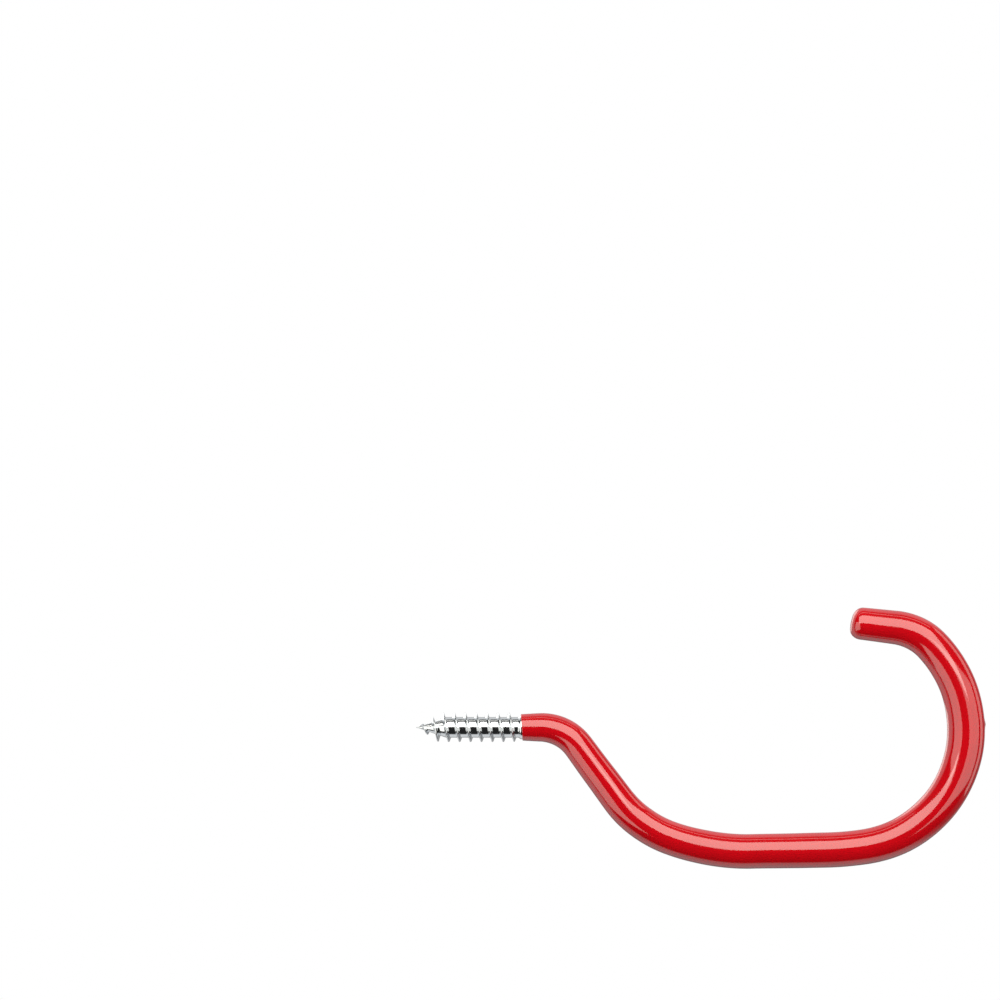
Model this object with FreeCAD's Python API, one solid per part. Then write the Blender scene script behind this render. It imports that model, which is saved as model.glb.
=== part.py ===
import FreeCAD, Part
import math
import os

# Garage utility hook: a bent steel rod with a lag screw rolled into its wall end,
# dipped in vinyl from the end of the thread to the tip.
# Millimetres. The screw lies along X and points to -X, into the wall. The hook hangs
# in the XZ plane with +Z up. The origin is on the screw's axis, at the vinyl's edge,
# where the hook meets the wall.

# Rod and its route from the wall outwards: straight runs, and tangent bends with the
# angle in degrees that each one turns by; FLOOR_RISE is the low run's slope
WIRE_DIAMETER = 6.35
SHANK_RUN = 5.3
SHOULDER_RADIUS = 12.5
SHOULDER_DROP = 53.5
LEG_RUN = 17.3
HEEL_RADIUS = 30.5
HEEL_TURN = 34.0
EASING_RADIUS = 62.0
FLOOR_RISE = 1.0
FLOOR_RUN = 18.4
ENTRY_RADIUS = 95.0
ENTRY_TURN = 7.0
LOWER_BOW_RADIUS = 31.5
UPPER_BOW_RADIUS = 32.5
UPPER_BOW_TURN = 44.0
TIP_RADIUS = 16.0
TIP_TURN = 39.5
TIP_RUN = 10.1

# Rolled lag thread, right-handed, with a gimlet point
SCREW_LENGTH = 28.0
THREAD_MAJOR = 7.8
THREAD_ROOT = 5.5
THREAD_PITCH = 2.92
RIDGE_BASE = 1.5
RIDGE_CREST = 0.45
CORE_POINT_LENGTH = 8.0
CREST_POINT_LENGTH = 5.9
THREAD_START_GAP = 1.2
THREAD_END_GAP = 0.5
THREAD_FADE = 1.4
ROLLING_CONE = 0.8
RIDGE_SINK = 0.4
POINTS_PER_TURN = 16

# Vinyl: thickest round the bow, where it drained while the hook hung by its screw.
# Each bend has one thickness, and the straight runs taper from one to the next.
COAT_AT_EDGE = 0.35
COAT_AT_SHOULDER = 0.8
COAT_AT_HEEL = 1.3
COAT_AT_BOW = 1.7
COAT_AT_TIP = 1.12
TIP_CAP = 1.8
NOSE_LENGTH = 3.0
TIP_ROUND = 2.2
DRIP_RADIUS = 1.2
DRIP_HEIGHT = 0.27

QUARTER_TURN = 90.0
FULL_TURN = 360.0
ORIGIN = FreeCAD.Vector(0, 0, 0)
ALONG_SCREW = FreeCAD.Vector(1, 0, 0)
ACROSS_HOOK = FreeCAD.Vector(0, 1, 0)


def heading_vector(heading):
    """Unit vector in the hook's plane, at an angle in degrees from +X towards +Z."""
    angle = math.radians(heading)
    return FreeCAD.Vector(math.cos(angle), 0, math.sin(angle))


class Route:
    """Way along the rod's centre line, from the wall, that leaves a solid on every run."""

    def __init__(self):
        self.place = ORIGIN
        self.heading = 0.0
        self.solids = []
        self.far_side = None

    def straight(self, length, start_radius, end_radius):
        """Straight run of round section, tapered where the two radii differ."""
        corners = [
            ORIGIN,
            FreeCAD.Vector(0, 0, start_radius),
            FreeCAD.Vector(length, 0, end_radius),
            FreeCAD.Vector(length, 0, 0),
        ]
        outline = Part.makePolygon(corners + corners[:1])
        self.put(Part.Face(outline).revolve(ORIGIN, ALONG_SCREW, FULL_TURN))
        self.place = self.place + heading_vector(self.heading) * length

    def bend(self, radius, turn, section_radius):
        """Tangent bend of round section; a positive turn goes from +X towards +Z."""
        centre = FreeCAD.Vector(0, 0, math.copysign(radius, turn))
        section = Part.Face(Part.Wire(Part.makeCircle(section_radius, ORIGIN, ALONG_SCREW)))
        self.put(section.revolve(centre, ACROSS_HOOK, -turn))
        inward = math.copysign(QUARTER_TURN, turn)
        pivot = self.place + heading_vector(self.heading + inward) * radius
        self.heading += turn
        self.place = pivot - heading_vector(self.heading + inward) * radius

    def put(self, solid):
        """Turn and move a solid made at the origin to the present end of the route."""
        solid.rotate(ORIGIN, ACROSS_HOOK, -self.heading)
        solid.translate(self.place)
        self.solids.append(solid)

    def joined(self):
        """All the runs and bends as one solid."""
        return self.solids[0].fuse(self.solids[1:])


def round_bar(edge, shoulder, heel, bow, tip, tip_run):
    """Bar that follows the hook's bends, with the radius it has at each of them."""
    route = Route()
    route.straight(SHANK_RUN, edge, shoulder)
    route.bend(SHOULDER_RADIUS, -SHOULDER_DROP, shoulder)
    route.straight(LEG_RUN, shoulder, heel)
    route.bend(HEEL_RADIUS, HEEL_TURN, heel)
    route.bend(EASING_RADIUS, FLOOR_RISE + SHOULDER_DROP - HEEL_TURN, heel)
    route.straight(FLOOR_RUN, heel, bow)
    route.bend(ENTRY_RADIUS, ENTRY_TURN, bow)
    # The lower bow ends where the rod stands upright, on the hook's far side.
    route.bend(LOWER_BOW_RADIUS, QUARTER_TURN - FLOOR_RISE - ENTRY_TURN, bow)
    route.far_side = route.place
    route.bend(UPPER_BOW_RADIUS, UPPER_BOW_TURN, bow)
    route.bend(TIP_RADIUS, TIP_TURN, bow)
    route.straight(tip_run, bow, tip)
    return route


def grown(x, length):
    """Share of its full size that the screw has at x, over a point of the given length."""
    return min(1.0, (x + SCREW_LENGTH) / length)


def screw_core():
    """Turned profile from the gimlet point to the plain wire at the vinyl's edge."""
    corners = [
        FreeCAD.Vector(-SCREW_LENGTH, 0, 0),
        FreeCAD.Vector(CORE_POINT_LENGTH - SCREW_LENGTH, 0, THREAD_ROOT / 2),
        FreeCAD.Vector(-ROLLING_CONE, 0, THREAD_ROOT / 2),
        FreeCAD.Vector(0, 0, WIRE_DIAMETER / 2),
        ORIGIN,
    ]
    outline = Part.makePolygon(corners + corners[:1])
    return Part.Face(outline).revolve(ORIGIN, ALONG_SCREW, FULL_TURN)


def ridge_section(x):
    """Corners of the ridge cut along the screw's axis at x, in order round the section."""
    full = grown(x, CREST_POINT_LENGTH)
    core = THREAD_ROOT / 2 * grown(x, CORE_POINT_LENGTH)
    crest = THREAD_MAJOR / 2 * full
    # Near the vinyl the whole section sinks under the core's surface and ends there.
    sunk = max(0.0, 1.0 + (x + THREAD_END_GAP) / THREAD_FADE)
    drop = sunk * (crest - core + RIDGE_SINK / 2)
    foot = core - RIDGE_SINK * full - drop
    # The ridge comes out at the top of the rod, a quarter turn from +Y.
    angle = 2 * math.pi * ((x + THREAD_END_GAP) / THREAD_PITCH + 0.25)
    outward = FreeCAD.Vector(0, math.cos(angle), math.sin(angle))
    half_base = ALONG_SCREW * (RIDGE_BASE / 2 * full)
    half_crest = ALONG_SCREW * (RIDGE_CREST / 2 * full)
    on_axis = ALONG_SCREW * x
    return [
        on_axis - half_base + outward * foot,
        on_axis - half_crest + outward * (crest - drop),
        on_axis + half_crest + outward * (crest - drop),
        on_axis + half_base + outward * foot,
    ]


def thread_ridge():
    """Helical ridge, made turn by turn from ruled flanks, crest and foot."""
    start = THREAD_START_GAP - SCREW_LENGTH
    length = SCREW_LENGTH - THREAD_START_GAP - THREAD_END_GAP
    turns = math.ceil(length / THREAD_PITCH)
    faces = []
    for turn in range(turns):
        sections = []
        for step in range(POINTS_PER_TURN + 1):
            sections.append(ridge_section(start + length * (turn + step / POINTS_PER_TURN) / turns))
        rails = []
        for points in zip(*sections):
            curve = Part.BSplineCurve()
            curve.interpolate(list(points))
            rails.append(curve.toShape())
        for index, rail in enumerate(rails):
            faces.append(Part.makeRuledSurface(rails[index - 1], rail, 1))
    for x in (start, start + length):
        corners = ridge_section(x)
        faces.append(Part.Face(Part.makePolygon(corners + corners[:1])))
    shell = Part.makeShell(faces)
    shell.sewShape()
    return Part.makeSolid(shell)


def steel_hook_rod():
    """Bent wire with its screw end, one rolled and bent piece."""
    wire = WIRE_DIAMETER / 2
    route = round_bar(wire, wire, wire, wire, wire, TIP_RUN)
    return route.joined().fuse([screw_core(), thread_ridge()]).removeSplitter().Solids[0]


def coat_nose():
    """Closed end of the vinyl past the rod: a blunt face with a rounded rim."""
    nose = Part.makeCylinder(WIRE_DIAMETER / 2 + COAT_AT_TIP, NOSE_LENGTH, ORIGIN, ALONG_SCREW)
    rim = max(nose.Edges, key=lambda edge: edge.BoundBox.XMin)
    return nose.makeFillet(TIP_ROUND, [rim])


def drip(far_side):
    """Drop of vinyl that set on the far side of the bow, the lowest point as it hung."""
    stand = WIRE_DIAMETER / 2 + COAT_AT_BOW + DRIP_HEIGHT - DRIP_RADIUS
    return Part.makeSphere(DRIP_RADIUS, far_side + ALONG_SCREW * stand)


def vinyl_coat(rod):
    """Dipped skin over the rod, closed over the tip."""
    coats = (COAT_AT_EDGE, COAT_AT_SHOULDER, COAT_AT_HEEL, COAT_AT_BOW, COAT_AT_TIP)
    radii = [WIRE_DIAMETER / 2 + thickness for thickness in coats]
    route = round_bar(*radii, TIP_RUN + TIP_CAP - NOSE_LENGTH)
    route.put(coat_nose())
    return route.joined().fuse(drip(route.far_side)).removeSplitter().cut(rod).Solids[0]


def main():
    os.makedirs("parts", exist_ok=True)
    rod = steel_hook_rod()
    rod.exportStep("parts/steel_hook_rod.step")
    vinyl_coat(rod).exportStep("parts/vinyl_coat.step")


main()
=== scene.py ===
"""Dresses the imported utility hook: a zinc-plated lag screw rod in a dipped red vinyl skin."""

import logging
import math
from dataclasses import dataclass
from enum import Enum
from functools import partial
from typing import Any, Callable, Iterator

import bmesh
import bpy
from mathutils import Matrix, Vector

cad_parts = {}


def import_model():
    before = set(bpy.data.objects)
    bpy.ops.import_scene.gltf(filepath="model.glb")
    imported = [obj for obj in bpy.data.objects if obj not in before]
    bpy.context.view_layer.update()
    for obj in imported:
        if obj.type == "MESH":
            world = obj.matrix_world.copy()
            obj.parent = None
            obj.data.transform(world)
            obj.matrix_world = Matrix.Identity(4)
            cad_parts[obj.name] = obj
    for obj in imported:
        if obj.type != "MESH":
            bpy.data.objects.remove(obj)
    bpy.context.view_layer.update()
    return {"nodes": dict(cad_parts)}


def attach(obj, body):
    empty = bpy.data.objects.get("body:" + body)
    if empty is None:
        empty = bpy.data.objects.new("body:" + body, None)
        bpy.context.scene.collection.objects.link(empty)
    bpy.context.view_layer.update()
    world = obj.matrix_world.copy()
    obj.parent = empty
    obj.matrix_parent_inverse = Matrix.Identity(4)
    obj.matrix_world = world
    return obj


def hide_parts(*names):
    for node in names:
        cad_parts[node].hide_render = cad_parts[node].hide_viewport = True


LOG = logging.getLogger("utility_hook")
MM = 0.001
BODY = "root"
FULL_TURN = 2.0 * math.pi
QUARTER_TURN = 0.5 * math.pi
RIGHT_ANGLE = 90.0
WHITE = "FFFFFF"

# Most values of a noise texture lie between these two.
NOISE_LOW = 0.3
NOISE_HIGH = 0.7

# A mix node's colour sockets go by number, since its other sockets have the same names.
MIX_COLOUR_A = 6
MIX_COLOUR_B = 7
MIX_COLOUR_OUT = 2

# Shape of one ring round the rod: for an angle, the distance along the route and the radius.
RingShape = Callable[[float], tuple[float, float]]


class Slot(Enum):
    """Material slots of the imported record."""

    STEEL = "zinc_plated_steel"
    VINYL = "red_vinyl"


class Node(Enum):
    """CAD nodes that the modelled pieces stand for."""

    ROD = "steel_hook_rod"
    COAT = "vinyl_coat"


def linear_rgb(hex_colour: str) -> tuple[float, float, float, float]:
    """Turn an sRGB hex colour into the linear values that shaders take.

    Args:
        hex_colour: Six hex digits, such as "B8101C".

    Returns:
        Linear red, green, blue and an alpha of one.
    """
    # The numbers are those of the sRGB standard.
    channels = [int(hex_colour[place:place + 2], 16) / 255.0 for place in (0, 2, 4)]
    linear = [c / 12.92 if c <= 0.04045 else ((c + 0.055) / 1.055) ** 2.4 for c in channels]
    return (linear[0], linear[1], linear[2], 1.0)


def add_node(tree: bpy.types.NodeTree, kind: str, settings: dict[str, Any] | None = None,
             inputs: dict[Any, Any] | None = None) -> bpy.types.Node:
    """Add one shader node with its settings, values and links.

    Args:
        tree: Node tree that takes the node.
        kind: Blender's name for the node type.
        settings: Properties of the node itself.
        inputs: Socket name or index to a value, or to an output socket to link from.

    Returns:
        The new node.
    """
    node = tree.nodes.new(kind)
    for name, value in (settings or {}).items():
        setattr(node, name, value)
    for name, value in (inputs or {}).items():
        if isinstance(value, bpy.types.NodeSocket):
            tree.links.new(value, node.inputs[name])
        else:
            node.inputs[name].default_value = value
    return node


def empty_material(name: str) -> bpy.types.Material:
    """Make a material whose node tree has no nodes yet.

    Args:
        name: Name of the material.

    Returns:
        The new material.
    """
    material = bpy.data.materials.new(name)
    material.use_nodes = True
    material.node_tree.nodes.clear()
    return material


def smooth_share(value: float, start: float, end: float) -> float:
    """Return the smooth 0 to 1 share of the way that a value is from start to end."""
    share = min(1.0, max(0.0, (value - start) / (end - start)))
    return share * share * (3.0 - 2.0 * share)


@dataclass(frozen=True)
class Station:
    """Place on the rod's centre line, in millimetres, with its heading in radians."""

    x: float
    z: float
    heading: float

    def point(self, outward: float, across: float) -> Vector:
        """Return a point beside the centre line, in metres.

        Args:
            outward: Distance to the left of the heading, in the hook's plane.
            across: Distance along +Y.

        Returns:
            The point in the row's frame.
        """
        x = self.x - math.sin(self.heading) * outward
        z = self.z + math.cos(self.heading) * outward
        return Vector((x, across, z)) * MM

    def ahead(self, distance: float) -> "Station":
        """Go straight on along the heading.

        Args:
            distance: How far to go, or back where it is negative.

        Returns:
            The station reached.
        """
        x = self.x + math.cos(self.heading) * distance
        z = self.z + math.sin(self.heading) * distance
        return Station(x, z, self.heading)


@dataclass(frozen=True)
class Stretch:
    """Straight run, or bend with a radius and a turn in degrees, of the rod's route."""

    length: float = 0.0
    radius: float = 0.0
    turn: float = 0.0

    def size(self) -> float:
        """Return the stretch's length along the centre line."""
        return self.length + self.radius * abs(math.radians(self.turn))

    def walk(self, start: Station, distance: float) -> Station:
        """Follow the stretch from its start.

        Args:
            start: Where the stretch begins.
            distance: How far to go along it.

        Returns:
            The station reached.
        """
        if not self.radius:
            return start.ahead(distance)
        side = math.copysign(1.0, self.turn)
        heading = start.heading + side * distance / self.radius
        x = start.x + side * self.radius * (math.sin(heading) - math.sin(start.heading))
        z = start.z - side * self.radius * (math.cos(heading) - math.cos(start.heading))
        return Station(x, z, heading)


@dataclass(frozen=True)
class HookRoute:
    """Centre line of the bent rod from the wall to the tip, in millimetres and degrees."""

    shank_run: float = 5.3
    shoulder_radius: float = 12.5
    shoulder_angle: float = 53.5
    leg_run: float = 17.3
    heel_radius: float = 30.5
    heel_angle: float = 34.0
    easing_radius: float = 62.0
    floor_angle: float = 1.0
    floor_run: float = 18.4
    entry_radius: float = 95.0
    entry_angle: float = 7.0
    lower_bow_radius: float = 31.5
    upper_bow_radius: float = 32.5
    upper_bow_angle: float = 44.0
    tip_radius: float = 16.0
    tip_angle: float = 39.5
    tip_run: float = 10.1

    def stretches(self) -> list[Stretch]:
        """List the runs and bends in order from the wall.

        Returns:
            The stretches of the route.
        """
        easing_angle = self.floor_angle + self.shoulder_angle - self.heel_angle
        # The lower bow ends where the rod stands upright.
        lower_bow_angle = RIGHT_ANGLE - self.floor_angle - self.entry_angle
        return [
            Stretch(length=self.shank_run),
            Stretch(radius=self.shoulder_radius, turn=-self.shoulder_angle),
            Stretch(length=self.leg_run),
            Stretch(radius=self.heel_radius, turn=self.heel_angle),
            Stretch(radius=self.easing_radius, turn=easing_angle),
            Stretch(length=self.floor_run),
            Stretch(radius=self.entry_radius, turn=self.entry_angle),
            Stretch(radius=self.lower_bow_radius, turn=lower_bow_angle),
            Stretch(radius=self.upper_bow_radius, turn=self.upper_bow_angle),
            Stretch(radius=self.tip_radius, turn=self.tip_angle),
            Stretch(length=self.tip_run),
        ]

    def joints(self) -> list[float]:
        """Measure how far along the route its stretches meet.

        Returns:
            Distances at the start and after each stretch.
        """
        distances = [0.0]
        for stretch in self.stretches():
            distances.append(distances[-1] + stretch.size())
        return distances

    def length(self) -> float:
        """Return the length of the whole route."""
        return self.joints()[-1]

    def locate(self, distance: float) -> Station:
        """Find a place on the route, or straight on past its ends.

        Args:
            distance: Distance from the wall along the centre line.

        Returns:
            The station there.
        """
        station = Station(0.0, 0.0, 0.0)
        if distance <= 0.0:
            return station.ahead(distance)
        left = distance
        for stretch in self.stretches():
            if left <= stretch.size():
                return stretch.walk(station, left)
            station = stretch.walk(station, stretch.size())
            left -= stretch.size()
        return station.ahead(left)


class MeshDraft:
    """Vertices and faces of a piece while it is being made."""

    def __init__(self) -> None:
        """Start with nothing."""
        self.points: list[Vector] = []
        self.faces: list[tuple[int, ...]] = []

    def ring(self, points: list[Vector]) -> list[int]:
        """Add a loop of points.

        Args:
            points: The points in order, in metres.

        Returns:
            Their numbers in the draft.
        """
        first = len(self.points)
        self.points.extend(points)
        return list(range(first, first + len(points)))

    def bridge(self, near: list[int], far: list[int]) -> None:
        """Join two loops of the same size with quads that face outwards.

        Args:
            near: Numbers of the first loop's points.
            far: Numbers of the next loop's points.
        """
        count = len(near)
        for place in range(count):
            following = (place + 1) % count
            self.faces.append((near[place], near[following], far[following], far[place]))

    def fan(self, loop: list[int], tip: Vector, onward: bool) -> None:
        """Close a loop with triangles to one point.

        Args:
            loop: Numbers of the loop's points.
            tip: Point that closes it.
            onward: Whether the fan faces on, past the loop, and not back.
        """
        centre = self.ring([tip])[0]
        for place, number in enumerate(loop):
            following = loop[(place + 1) % len(loop)]
            first, second = (number, following) if onward else (following, number)
            self.faces.append((first, second, centre))

    def finish(self, name: str, merge: float = 0.0) -> bpy.types.Object:
        """Make a smooth-shaded object of the draft.

        Args:
            name: Name of the piece.
            merge: Distance in metres under which points become one, or 0 for none.

        Returns:
            The object, linked into the scene.
        """
        mesh = bpy.data.meshes.new(name)
        mesh.from_pydata(self.points, [], self.faces)
        if merge:
            work = bmesh.new()
            work.from_mesh(mesh)
            bmesh.ops.remove_doubles(work, verts=work.verts[:], dist=merge)
            work.to_mesh(mesh)
            work.free()
        mesh.validate()
        mesh.polygons.foreach_set("use_smooth", [True] * len(mesh.polygons))
        mesh.update()
        piece = bpy.data.objects.new(name, mesh)
        bpy.context.scene.collection.objects.link(piece)
        return piece


@dataclass(frozen=True)
class BrightZincPlate:
    """Bright electroplated zinc on a rolled steel thread."""

    colour: str = "E9ECEE"
    haze_colour: str = "D3D8DC"
    roughness: float = 0.08
    roughness_spread: float = 0.08
    haze_size_mm: float = 1.6
    haze_detail: float = 3.0
    rolling_mark_mm: float = 0.35
    rolling_mark_detail: float = 2.0
    rolling_mark_depth_mm: float = 0.006
    rolling_mark_strength: float = 0.3

    def material(self) -> bpy.types.Material:
        """Build the material, with patches of haze and the marks of the rolls.

        Returns:
            The material.
        """
        # The plate gives the eye a cool, nearly white mirror. The thread breaks it up into
        # small hard blocks of white and black, which milky haze softens in patches.
        material = empty_material("bright_zinc_plated_rolled_steel")
        tree = material.node_tree
        place = add_node(tree, "ShaderNodeTexCoord")
        haze = add_node(tree, "ShaderNodeTexNoise", {"noise_dimensions": "3D"}, {
            "Vector": place.outputs["Object"], "Scale": 1.0 / (self.haze_size_mm * MM),
            "Detail": self.haze_detail})
        # Marks left by thread rolls are finer than the render shows, so they are drawn coarser.
        marks = add_node(tree, "ShaderNodeTexNoise", {"noise_dimensions": "3D"}, {
            "Vector": place.outputs["Object"], "Scale": 1.0 / (self.rolling_mark_mm * MM),
            "Detail": self.rolling_mark_detail})
        colour = add_node(tree, "ShaderNodeMix", {"data_type": "RGBA"}, {
            "Factor": haze.outputs["Fac"], MIX_COLOUR_A: linear_rgb(self.colour),
            MIX_COLOUR_B: linear_rgb(self.haze_colour)})
        roughness = add_node(tree, "ShaderNodeMapRange", None, {
            "Value": haze.outputs["Fac"], "From Min": NOISE_LOW, "From Max": NOISE_HIGH,
            "To Min": self.roughness, "To Max": self.roughness + self.roughness_spread})
        bump = add_node(tree, "ShaderNodeBump", None, {
            "Height": marks.outputs["Fac"], "Strength": self.rolling_mark_strength,
            "Distance": self.rolling_mark_depth_mm * MM})
        shader = add_node(tree, "ShaderNodeBsdfPrincipled", None, {
            "Base Color": colour.outputs[MIX_COLOUR_OUT], "Metallic": 1.0,
            "Roughness": roughness.outputs["Result"], "Normal": bump.outputs["Normal"]})
        add_node(tree, "ShaderNodeOutputMaterial", None, {"Surface": shader.outputs["BSDF"]})
        return material


@dataclass(frozen=True)
class DippedRedVinyl:
    """Vinyl plastisol that the warm hook was dipped in, and that gelled as it hung."""

    colour: str = "C60512"
    deep_colour: str = "B60310"
    ior: float = 1.53
    specular_level: float = 1.0
    roughness: float = 0.06
    roughness_spread: float = 0.05
    cloud_size_mm: float = 7.0
    cloud_detail: float = 2.0
    ripple_size_mm: float = 3.2
    ripple_detail: float = 1.0
    ripple_depth_mm: float = 0.03
    ripple_strength: float = 0.3

    def material(self) -> bpy.types.Material:
        """Build the material, with clouds in the pigment and ripples in the skin.

        Returns:
            The material.
        """
        # The vinyl gives the eye a deep, even red under a wet gloss: broad highlights with
        # clear but slightly wavy edges, and pale rims where the skin turns away.
        material = empty_material("dipped_red_vinyl_plastisol")
        tree = material.node_tree
        place = add_node(tree, "ShaderNodeTexCoord")
        cloud = add_node(tree, "ShaderNodeTexNoise", {"noise_dimensions": "3D"}, {
            "Vector": place.outputs["Object"], "Scale": 1.0 / (self.cloud_size_mm * MM),
            "Detail": self.cloud_detail})
        ripple = add_node(tree, "ShaderNodeTexNoise", {"noise_dimensions": "3D"}, {
            "Vector": place.outputs["Object"], "Scale": 1.0 / (self.ripple_size_mm * MM),
            "Detail": self.ripple_detail})
        colour = add_node(tree, "ShaderNodeMix", {"data_type": "RGBA"}, {
            "Factor": cloud.outputs["Fac"], MIX_COLOUR_A: linear_rgb(self.colour),
            MIX_COLOUR_B: linear_rgb(self.deep_colour)})
        roughness = add_node(tree, "ShaderNodeMapRange", None, {
            "Value": cloud.outputs["Fac"], "From Min": NOISE_LOW, "From Max": NOISE_HIGH,
            "To Min": self.roughness, "To Max": self.roughness + self.roughness_spread})
        bump = add_node(tree, "ShaderNodeBump", None, {
            "Height": ripple.outputs["Fac"], "Strength": self.ripple_strength,
            "Distance": self.ripple_depth_mm * MM})
        shader = add_node(tree, "ShaderNodeBsdfPrincipled", None, {
            "Base Color": colour.outputs[MIX_COLOUR_OUT], "IOR": self.ior,
            "Roughness": roughness.outputs["Result"], "Specular IOR Level": self.specular_level,
            "Normal": bump.outputs["Normal"]})
        add_node(tree, "ShaderNodeOutputMaterial", None, {"Surface": shader.outputs["BSDF"]})
        return material


@dataclass(frozen=True)
class MattPaleBoard:
    """Studio board rolled with flat pale grey paint, in metres from its centre."""

    colour: str = "D6D8DC"
    fade_start: float = 0.12
    fade_end: float = 0.38

    def material(self, centre: Vector) -> bpy.types.Material:
        """Build the material, which fades into the white around the board.

        Args:
            centre: The board's centre, in metres.

        Returns:
            The material.
        """
        # Flat paint gives the eye no gloss at all, only the soft shadow that falls on it.
        material = empty_material("matt_pale_grey_painted_studio_board")
        tree = material.node_tree
        place = add_node(tree, "ShaderNodeTexCoord")
        away = add_node(tree, "ShaderNodeVectorMath", {"operation": "DISTANCE"}, {
            0: place.outputs["Object"], 1: centre})
        rim = add_node(tree, "ShaderNodeMapRange", {"interpolation_type": "SMOOTHSTEP"}, {
            "Value": away.outputs["Value"], "From Min": self.fade_start, "From Max": self.fade_end})
        board = add_node(tree, "ShaderNodeBsdfDiffuse", None, {"Color": linear_rgb(self.colour)})
        white = add_node(tree, "ShaderNodeEmission", None, {"Color": linear_rgb(WHITE)})
        blend = add_node(tree, "ShaderNodeMixShader", None, {
            0: rim.outputs["Result"], 1: board.outputs["BSDF"], 2: white.outputs["Emission"]})
        add_node(tree, "ShaderNodeOutputMaterial", None, {"Surface": blend.outputs["Shader"]})
        return material


@dataclass
class SteelHookRod:
    """Bent steel wire with a lag thread rolled into its wall end, in millimetres."""

    route: HookRoute
    finish: BrightZincPlate
    wire_radius: float = 3.175
    screw_length: float = 28.0
    crest_radius: float = 3.9
    root_radius: float = 2.75
    pitch: float = 2.92
    top_crest_x: float = -3.2
    ridge_base: float = 1.05
    ridge_crest: float = 0.3
    crest_crown: float = 0.06
    flank_hollow: float = 1.15
    core_point_length: float = 8.0
    crest_point_length: float = 5.9
    point_snap: float = 0.2
    fade_start_x: float = -1.9
    fade_end_x: float = -0.5
    rolling_cone: float = 0.8
    segments: int = 64
    samples_per_pitch: int = 22
    wire_step: float = 1.2
    merge_distance: float = 0.004

    def core(self, x: float) -> float:
        """Measure the core, from the gimlet point to the plain wire.

        Args:
            x: Place on the screw's axis.

        Returns:
            The core's radius there.
        """
        point = min(1.0, max(0.0, (x + self.screw_length) / self.core_point_length))
        swell = smooth_share(x, -self.rolling_cone, 0.0)
        return self.root_radius * point + swell * (self.wire_radius - self.root_radius)

    def crest(self, x: float) -> float:
        """Return the radius over the ridge's crest at x."""
        point = min(1.0, max(0.0, (x + self.screw_length) / self.crest_point_length))
        return self.crest_radius * point

    def ridge(self, offset: float) -> float:
        """Return how far up the ridge stands at a distance from its middle.

        Args:
            offset: Distance along the screw's axis from the middle of the ridge.

        Returns:
            A share from 0, on the core, to 1, on the crest.
        """
        away = abs(offset)
        half_crest = self.ridge_crest / 2.0
        half_base = self.ridge_base / 2.0
        if away <= half_crest:
            return 1.0 - self.crest_crown * (away / half_crest) ** 2
        if away >= half_base:
            return 0.0
        share = (half_base - away) / (half_base - half_crest)
        return (1.0 - self.crest_crown) * share ** self.flank_hollow

    def surface_radius(self, x: float, offset: float) -> float:
        """Measure the screw over core and ridge.

        Args:
            x: Place on the screw's axis.
            offset: Distance along the axis from the middle of the ridge.

        Returns:
            The screw's radius there.
        """
        core = self.core(x)
        height = max(0.0, self.crest(x) - core)
        fade = 1.0 - smooth_share(x, self.fade_start_x, self.fade_end_x)
        return core + height * fade * self.ridge(offset)

    def screw(self, draft: MeshDraft) -> None:
        """Wind the thread as one ribbon, a pitch wide, held between the point and the wall.

        Args:
            draft: Mesh that takes the ribbon's points and faces.
        """
        # The ridge's middle is on top of the rod, a quarter turn from +Y, at top_crest_x.
        quarter = self.segments // 4
        # Spare turns reach past the point and past the wall, where x is then held.
        turns = math.ceil(self.screw_length / self.pitch) + 2
        turns_past_top = math.ceil(-self.top_crest_x / self.pitch) + 1
        start = self.top_crest_x + self.pitch * (turns_past_top - turns)
        columns: list[list[int]] = []
        for step in range(turns * self.segments + 1):
            angle = FULL_TURN * (step + quarter) / self.segments
            middle = start + self.pitch * step / self.segments
            points = []
            for sample in range(self.samples_per_pitch + 1):
                offset = self.pitch * (sample / self.samples_per_pitch - 0.5)
                x = min(0.0, middle + offset)
                if x < self.point_snap - self.screw_length:
                    x = -self.screw_length
                radius = self.surface_radius(x, offset)
                points.append(Vector((x, radius * math.cos(angle), radius * math.sin(angle))) * MM)
            columns.append(draft.ring(points))
        for near, far in zip(columns, columns[1:]):
            for sample in range(self.samples_per_pitch):
                draft.faces.append((near[sample], far[sample], far[sample + 1], near[sample + 1]))

    def wire(self, draft: MeshDraft) -> None:
        """Run the plain wire on from the screw to its cut end inside the vinyl.

        Args:
            draft: Mesh that takes the wire's points and faces.
        """
        length = self.route.length()
        count = math.ceil(length / self.wire_step)
        loops = []
        for place in range(count + 1):
            station = self.route.locate(length * place / count)
            points = []
            for segment in range(self.segments):
                angle = FULL_TURN * segment / self.segments
                outward = self.wire_radius * math.sin(angle)
                points.append(station.point(outward, self.wire_radius * math.cos(angle)))
            loops.append(draft.ring(points))
        for near, far in zip(loops, loops[1:]):
            draft.bridge(near, far)
        draft.fan(loops[-1], self.route.locate(length).point(0.0, 0.0), True)

    def build(self) -> bpy.types.Object:
        """Make the rod, dress it and put it in the CAD rod's place.

        Returns:
            The dressed piece.
        """
        draft = MeshDraft()
        self.screw(draft)
        self.wire(draft)
        piece = draft.finish("zinc_plated_hook_rod", merge=self.merge_distance * MM)
        piece.data.materials.append(self.finish.material())
        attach(piece, BODY)
        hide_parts(Node.ROD.value)
        return piece


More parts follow.
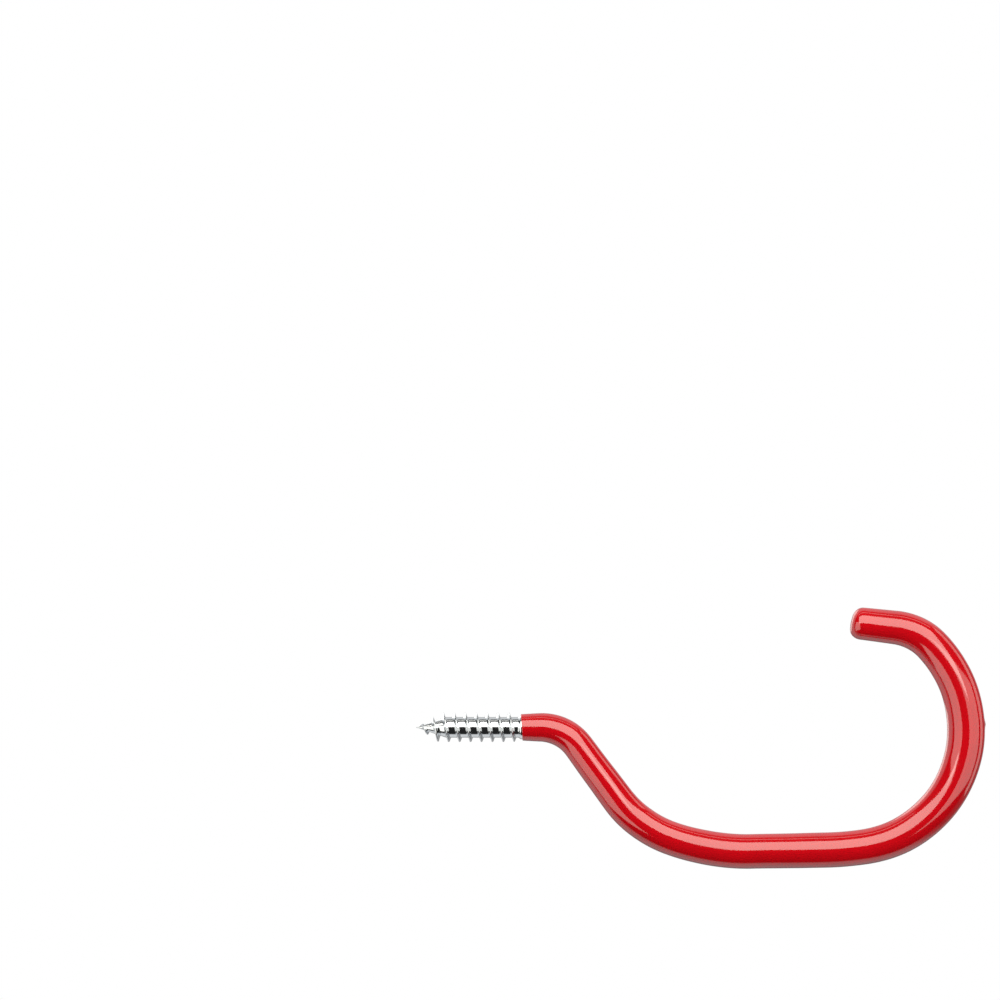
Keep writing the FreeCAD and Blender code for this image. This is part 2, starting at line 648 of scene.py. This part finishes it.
@dataclass(frozen=True)
class Wave:
    """Slow wave in the vinyl's skin.

    Its length is in millimetres, its crests are counted round the rod, and share is its part
    of the waves' height. Start and lean shift it along and round the rod, in radians.
    """

    length: float
    crests: int
    share: float
    start: float
    lean: float

    def height(self, distance: float, angle: float) -> float:
        """Return the wave's height, from -share to share, at a place on the hook."""
        along = math.sin(FULL_TURN * distance / self.length + self.start)
        return self.share * along * math.cos(self.crests * angle + self.lean)


@dataclass
class VinylCoat:
    """Dipped vinyl skin, thickest on the bow's far side where it drained, in millimetres."""

    route: HookRoute
    finish: DippedRedVinyl
    wire_radius: float = 3.175
    at_edge: float = 0.35
    at_shoulder: float = 0.63
    at_leg: float = 0.91
    at_heel: float = 1.17
    at_easing: float = 1.34
    at_floor: float = 1.46
    at_entry: float = 1.51
    at_bow: float = 1.55
    at_far_side: float = 1.85
    at_tip_bend: float = 1.58
    at_tip_run: float = 1.35
    at_tip: float = 1.12
    edge_middle_x: float = 0.18
    edge_lean: float = 0.21
    edge_round: float = 0.16
    edge_margin: float = 0.15
    edge_steps: int = 4
    tip_cap: float = 1.8
    tip_round: float = 2.9
    tip_lean: float = 0.35
    tip_bulge: float = 0.12
    nose_steps: int = 10
    face_rings: int = 3
    drip_height: float = 0.27
    drip_length: float = 0.75
    drip_width: float = 0.9
    drip_past_far_side: float = 1.4
    far_side_joint: int = 8
    waves: tuple[Wave, ...] = (
        Wave(length=15.3, crests=1, share=0.7, start=1.3, lean=-0.4),
        Wave(length=27.3, crests=2, share=1.0, start=-0.7, lean=0.9),
        Wave(length=8.1, crests=1, share=0.25, start=2.1, lean=2.2),
    )
    wave_height: float = 0.026
    wave_start: float = 12.0
    segments: int = 72
    step: float = 0.6

    def thickness(self, distance: float) -> float:
        """Return the skin's thickness, eased between its values at the route's joints.

        Args:
            distance: Distance from the wall along the route.

        Returns:
            The thickness there.
        """
        values = [
            self.at_edge, self.at_shoulder, self.at_leg, self.at_heel,
            self.at_easing, self.at_floor, self.at_entry, self.at_bow,
            self.at_far_side, self.at_tip_bend, self.at_tip_run, self.at_tip,
        ]
        joints = self.route.joints()
        slopes = []
        for place in range(len(values)):
            before = max(0, place - 1)
            after = min(len(values) - 1, place + 1)
            slopes.append((values[after] - values[before]) / (joints[after] - joints[before]))
        place = 0
        while place < len(values) - 2 and distance > joints[place + 1]:
            place += 1
        span = joints[place + 1] - joints[place]
        share = min(1.0, max(0.0, (distance - joints[place]) / span))
        rise = values[place + 1] - values[place]
        start_slope = slopes[place] * span
        end_slope = slopes[place + 1] * span
        # A cubic takes the values and the slopes of both joints.
        square = 3.0 * rise - 2.0 * start_slope - end_slope
        cube = start_slope + end_slope - 2.0 * rise
        return values[place] + share * (start_slope + share * (square + share * cube))

    def ripple(self, distance: float, angle: float) -> float:
        """Return the height of the slow waves that the vinyl set with."""
        total = sum(wave.height(distance, angle) for wave in self.waves)
        return self.wave_height * total * smooth_share(distance, 0.0, self.wave_start)

    def drip(self, distance: float, angle: float) -> float:
        """Measure the drop that set on the outside of the bow's far side.

        Args:
            distance: Distance from the wall along the route.
            angle: Angle round the rod.

        Returns:
            The drop's height there.
        """
        middle = self.route.joints()[self.far_side_joint] + self.drip_past_far_side
        along = (distance - middle) / self.drip_length
        round_rod = (angle - math.pi) * (self.wire_radius + self.at_far_side) / self.drip_width
        return self.drip_height * math.exp(-along * along - round_rod * round_rod)

    def radius(self, distance: float, angle: float) -> float:
        """Return the skin's outer radius at a place on the hook."""
        base = self.wire_radius + self.thickness(distance)
        return base + self.ripple(distance, angle) + self.drip(distance, angle)

    def loop(self, draft: MeshDraft, shape: RingShape) -> list[int]:
        """Add one ring round the rod.

        Args:
            draft: Mesh that takes the ring.
            shape: Gives the distance along the route and the radius for an angle.

        Returns:
            Numbers of the ring's points.
        """
        points = []
        for segment in range(self.segments):
            angle = FULL_TURN * segment / self.segments
            distance, radius = shape(angle)
            station = self.route.locate(distance)
            points.append(station.point(radius * math.cos(angle), -radius * math.sin(angle)))
        return draft.ring(points)

    def edge_x(self, angle: float) -> float:
        """Return where the vinyl starts, on a slightly leaning line round the rod."""
        return self.edge_middle_x - self.edge_lean * math.cos(angle)

    def edge_point(self, turn: float, angle: float) -> tuple[float, float]:
        """Find a place on the rounding of the film's edge.

        Args:
            turn: Angle along the rounding, from 0 at the edge to a quarter turn on the skin.
            angle: Angle round the rod.

        Returns:
            The distance along the route and the radius.
        """
        distance = self.edge_x(angle) + self.edge_round * (1.0 - math.cos(turn))
        drop = self.edge_round * (1.0 - math.sin(turn))
        return distance, self.radius(max(0.0, distance), angle) - drop

    def skin_point(self, distance: float, angle: float) -> tuple[float, float]:
        """Return a distance along the route with the skin's radius there."""
        return distance, self.radius(distance, angle)

    def nose_start(self) -> float:
        """Return how far along the route the tip's rounding starts."""
        return self.route.length() + self.tip_cap - self.tip_round

    def nose_point(self, turn: float, angle: float) -> tuple[float, float]:
        """Find a place on the tip's rounding, which leans with the rod's cut end.

        Args:
            turn: Angle along the rounding, from 0 on the skin to a quarter turn on the face.
            angle: Angle round the rod.

        Returns:
            The distance along the route and the radius.
        """
        full = self.radius(self.nose_start(), angle)
        radius = full - self.tip_round * (1.0 - math.cos(turn))
        lean = self.tip_lean * math.cos(angle) * radius / full * math.sin(turn)
        return self.nose_start() + self.tip_round * math.sin(turn) + lean, radius

    def face_point(self, share: float, angle: float) -> tuple[float, float]:
        """Find a place on the tip's blunt, leaning face.

        Args:
            share: Share of the way from the face's middle to its rim.
            angle: Angle round the rod.

        Returns:
            The distance along the route and the radius.
        """
        full = self.radius(self.nose_start(), angle)
        radius = (full - self.tip_round) * share
        bulge = self.tip_bulge * (1.0 - share * share)
        lean = self.tip_lean * math.cos(angle) * radius / full
        return self.nose_start() + self.tip_round + bulge + lean, radius

    def rings(self) -> Iterator[RingShape]:
        """Go through the outside from the film's edge along the hook to the tip's face.

        Yields:
            The shape of each ring.
        """
        yield lambda angle: (self.edge_x(angle), self.wire_radius)
        for place in range(self.edge_steps + 1):
            yield partial(self.edge_point, QUARTER_TURN * place / self.edge_steps)
        start = self.edge_middle_x + self.edge_lean + self.edge_round + self.edge_margin
        end = self.nose_start()
        count = math.ceil((end - start) / self.step)
        for place in range(count + 1):
            yield partial(self.skin_point, start + (end - start) * place / count)
        for place in range(1, self.nose_steps + 1):
            yield partial(self.nose_point, QUARTER_TURN * place / self.nose_steps)
        for place in range(self.face_rings - 1, 0, -1):
            yield partial(self.face_point, place / self.face_rings)

    def inner_wall(self, draft: MeshDraft, edge_loop: list[int]) -> None:
        """Line the skin against the rod, up to the rod's cut end.

        Args:
            draft: Mesh that takes the lining.
            edge_loop: Ring where the film's edge meets the rod.
        """
        length = self.route.length()
        # The first full ring stands clear of the leaning edge.
        first = self.edge_middle_x + 2.0 * self.edge_lean
        count = math.ceil(length / (2.0 * self.step))
        near = edge_loop
        for place in range(1, count + 1):
            distance = max(length * place / count, first)
            far = self.loop(draft, lambda angle, distance=distance: (distance, self.wire_radius))
            draft.bridge(far, near)
            near = far
        draft.fan(near, self.route.locate(length).point(0.0, 0.0), False)

    def build(self) -> bpy.types.Object:
        """Make the skin, dress it and put it in the CAD coat's place.

        Returns:
            The dressed piece.
        """
        draft = MeshDraft()
        loops = [self.loop(draft, ring) for ring in self.rings()]
        for near, far in zip(loops, loops[1:]):
            draft.bridge(near, far)
        end = self.route.length() + self.tip_cap + self.tip_bulge
        draft.fan(loops[-1], self.route.locate(end).point(0.0, 0.0), True)
        self.inner_wall(draft, loops[0])
        piece = draft.finish("dipped_vinyl_coat")
        piece.data.materials.append(self.finish.material())
        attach(piece, BODY)
        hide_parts(Node.COAT.value)
        return piece


@dataclass(frozen=True)
class Softbox:
    """Rectangular softbox that faces the hook, in metres, and in degrees seen from the hook."""

    name: str
    azimuth: float
    elevation: float
    width: float
    height: float
    radiance: float
    distance: float = 0.9
    colour: str = "FFFCF4"
    in_gloss: bool = True

    def way(self) -> Vector:
        """Point from the hook to the lamp; azimuth 0 is the camera's side.

        Returns:
            A unit vector.
        """
        turn = math.radians(self.azimuth)
        rise = math.radians(self.elevation)
        level = math.cos(rise)
        return Vector((math.sin(turn) * level, -math.cos(turn) * level, math.sin(rise)))

    def hang(self, target: Vector) -> bpy.types.Object:
        """Hang the lamp so that it faces a point.

        Args:
            target: The point that it lights, in metres.

        Returns:
            The lamp.
        """
        data = bpy.data.lights.new(self.name, "AREA")
        data.shape = "RECTANGLE"
        data.size = self.width
        data.size_y = self.height
        data.color = linear_rgb(self.colour)[:3]
        # A face of radiance 1 sends out pi watts per square metre.
        data.energy = self.radiance * math.pi * self.width * self.height
        lamp = bpy.data.objects.new(self.name, data)
        lamp.location = target + self.way() * self.distance
        lamp.rotation_euler = (-self.way()).to_track_quat("-Z", "Y").to_euler()
        lamp.visible_glossy = self.in_gloss
        bpy.context.scene.collection.objects.link(lamp)
        return lamp


@dataclass(frozen=True)
class Fade:
    """Smooth change in the surround, between two values of a part of the view's direction."""

    start: float
    end: float


@dataclass
class Studio:
    """White table studio, in metres where a name doesn't say mm.

    It has a camera, softboxes, a pale floor and a white surround.
    """

    board: MattPaleBoard
    frame_width_mm: float = 267.0
    centre_x_mm: float = -5.6
    centre_z_mm: float = 60.7
    camera_distance: float = 1.5
    camera_reach: float = 20.0
    sensor_mm: float = 36.0
    hook_middle_x: float = 0.06
    floor_drop: float = 0.11
    floor_radius: float = 0.4
    floor_segments: int = 96
    room_level: float = 0.02
    ceiling_level: float = 0.08
    low_ring_level: float = 0.8
    low_middle_level: float = 0.3
    high_ring_level: float = 0.78
    high_middle_level: float = 0.6
    shade_level: float = 0.15
    backdrop_way: tuple[float, float, float] = (0.0, 1.0, -0.2)
    ceiling_fade: Fade = Fade(0.3, 0.9)
    middle_fade: Fade = Fade(0.5, 0.95)
    height_fade: Fade = Fade(-0.3, 0.3)
    shade_fade: Fade = Fade(0.42, 0.72)
    backdrop_fade: Fade = Fade(-0.05, 0.2)
    softboxes: tuple[Softbox, ...] = (
        Softbox("overhead_softbox", azimuth=0.0, elevation=36.0, width=1.5, height=0.96, radiance=3.0),
        Softbox("left_softbox", azimuth=-52.0, elevation=-12.0, width=0.92, height=0.95, radiance=1.55),
        Softbox("right_softbox", azimuth=50.0, elevation=-3.0, width=1.1, height=0.8, radiance=1.4),
        Softbox("rear_right_softbox", azimuth=104.0, elevation=10.0, width=0.36, height=1.4,
                radiance=1.2),
        Softbox("rear_left_softbox", azimuth=-150.0, elevation=15.0, width=0.42, height=0.8,
                radiance=1.6),
        Softbox("top_strip", azimuth=0.0, elevation=88.0, width=1.4, height=0.09, radiance=1.4),
        # The fill lightens the hook's far side without a mirror image of its own.
        Softbox("rear_fill", azimuth=180.0, elevation=20.0, width=1.3, height=1.0, radiance=2.0,
                distance=1.1, in_gloss=False),
    )

    def camera(self) -> None:
        """Place a long lens square to the hook's plane, framed as in the photograph."""
        data = bpy.data.cameras.new("photo_camera")
        data.sensor_width = self.sensor_mm
        data.lens = self.sensor_mm * self.camera_distance / (self.frame_width_mm * MM)
        data.clip_end = self.camera_reach
        camera = bpy.data.objects.new("photo_camera", data)
        camera.location = (self.centre_x_mm * MM, -self.camera_distance, self.centre_z_mm * MM)
        camera.rotation_euler = (QUARTER_TURN, 0.0, 0.0)
        bpy.context.scene.collection.objects.link(camera)
        bpy.context.scene.camera = camera

    def surround(self) -> None:
        """Set the world: white to the camera and behind the hook, a dim room in front of it."""
        world = bpy.data.worlds.new("white_studio")
        world.use_nodes = True
        bpy.context.scene.world = world
        tree = world.node_tree
        tree.nodes.clear()
        smooth = {"interpolation_type": "SMOOTHSTEP"}
        path = add_node(tree, "ShaderNodeLightPath")
        place = add_node(tree, "ShaderNodeTexCoord")
        axes = add_node(tree, "ShaderNodeSeparateXYZ", None, {"Vector": place.outputs["Generated"]})
        # The room in front brightens a little towards its ceiling.
        front = add_node(tree, "ShaderNodeMapRange", smooth, {
            "Value": axes.outputs["Z"],
            "From Min": self.ceiling_fade.start, "From Max": self.ceiling_fade.end,
            "To Min": self.room_level, "To Max": self.ceiling_level})
        # The backdrop is brightest in a ring round the hook and dims towards its middle.
        low = add_node(tree, "ShaderNodeMapRange", smooth, {
            "Value": axes.outputs["Y"],
            "From Min": self.middle_fade.start, "From Max": self.middle_fade.end,
            "To Min": self.low_ring_level, "To Max": self.low_middle_level})
        high = add_node(tree, "ShaderNodeMapRange", smooth, {
            "Value": axes.outputs["Y"],
            "From Min": self.middle_fade.start, "From Max": self.middle_fade.end,
            "To Min": self.high_ring_level, "To Max": self.high_middle_level})
        backdrop = add_node(tree, "ShaderNodeMapRange", smooth, {
            "Value": axes.outputs["Z"],
            "From Min": self.height_fade.start, "From Max": self.height_fade.end,
            "To Min": low.outputs["Result"], "To Max": high.outputs["Result"]})
        # Its right end lies in shade.
        shaded = add_node(tree, "ShaderNodeMapRange", smooth, {
            "Value": axes.outputs["X"],
            "From Min": self.shade_fade.start, "From Max": self.shade_fade.end,
            "To Min": backdrop.outputs["Result"], "To Max": self.shade_level})
        # It leans away above the hook, which leaves a dark gap overhead.
        rearward = add_node(tree, "ShaderNodeVectorMath", {"operation": "DOT_PRODUCT"}, {
            0: place.outputs["Generated"], 1: self.backdrop_way})
        room = add_node(tree, "ShaderNodeMapRange", smooth, {
            "Value": rearward.outputs["Value"],
            "From Min": self.backdrop_fade.start, "From Max": self.backdrop_fade.end,
            "To Min": front.outputs["Result"], "To Max": shaded.outputs["Result"]})
        level = add_node(tree, "ShaderNodeMix", {"data_type": "FLOAT"}, {
            "Factor": path.outputs["Is Camera Ray"], "A": room.outputs["Result"], "B": 1.0})
        light = add_node(tree, "ShaderNodeBackground", None, {
            "Color": linear_rgb(WHITE), "Strength": level.outputs["Result"]})
        add_node(tree, "ShaderNodeOutputWorld", None, {"Surface": light.outputs["Background"]})

    def floor(self) -> None:
        """Lay a pale round floor that takes the hook's shadow and fades into the white."""
        draft = MeshDraft()
        centre = Vector((self.hook_middle_x, 0.0, -self.floor_drop))
        rim = []
        for segment in range(self.floor_segments):
            angle = FULL_TURN * segment / self.floor_segments
            rim.append(centre + Vector((math.cos(angle), math.sin(angle), 0.0)) * self.floor_radius)
        draft.fan(draft.ring(rim), centre, True)
        floor = draft.finish("studio_floor")
        floor.data.materials.append(self.board.material(centre))
        # The surround already lights the hook from below, so the board adds no light to it.
        floor.visible_glossy = False
        floor.visible_diffuse = False

    def build(self) -> None:
        """Set the whole studio up."""
        bpy.context.scene.view_settings.view_transform = "Standard"
        self.camera()
        self.surround()
        self.floor()
        for softbox in self.softboxes:
            softbox.hang(Vector((self.hook_middle_x, 0.0, 0.0)))


def main() -> None:
    """Build the hook's pieces in the frame, set up the studio and report each piece."""
    logging.basicConfig(level=logging.INFO)
    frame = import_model()
    LOG.info("nodes in the frame: %s", ", ".join(sorted(frame["nodes"])))
    route = HookRoute()
    for piece in (
        SteelHookRod(route, BrightZincPlate()).build(),
        VinylCoat(route, DippedRedVinyl()).build(),
    ):
        LOG.info("%s: %d faces", piece.name, len(piece.data.polygons))
    Studio(MattPaleBoard()).build()


if __name__ == "__main__":
    main()
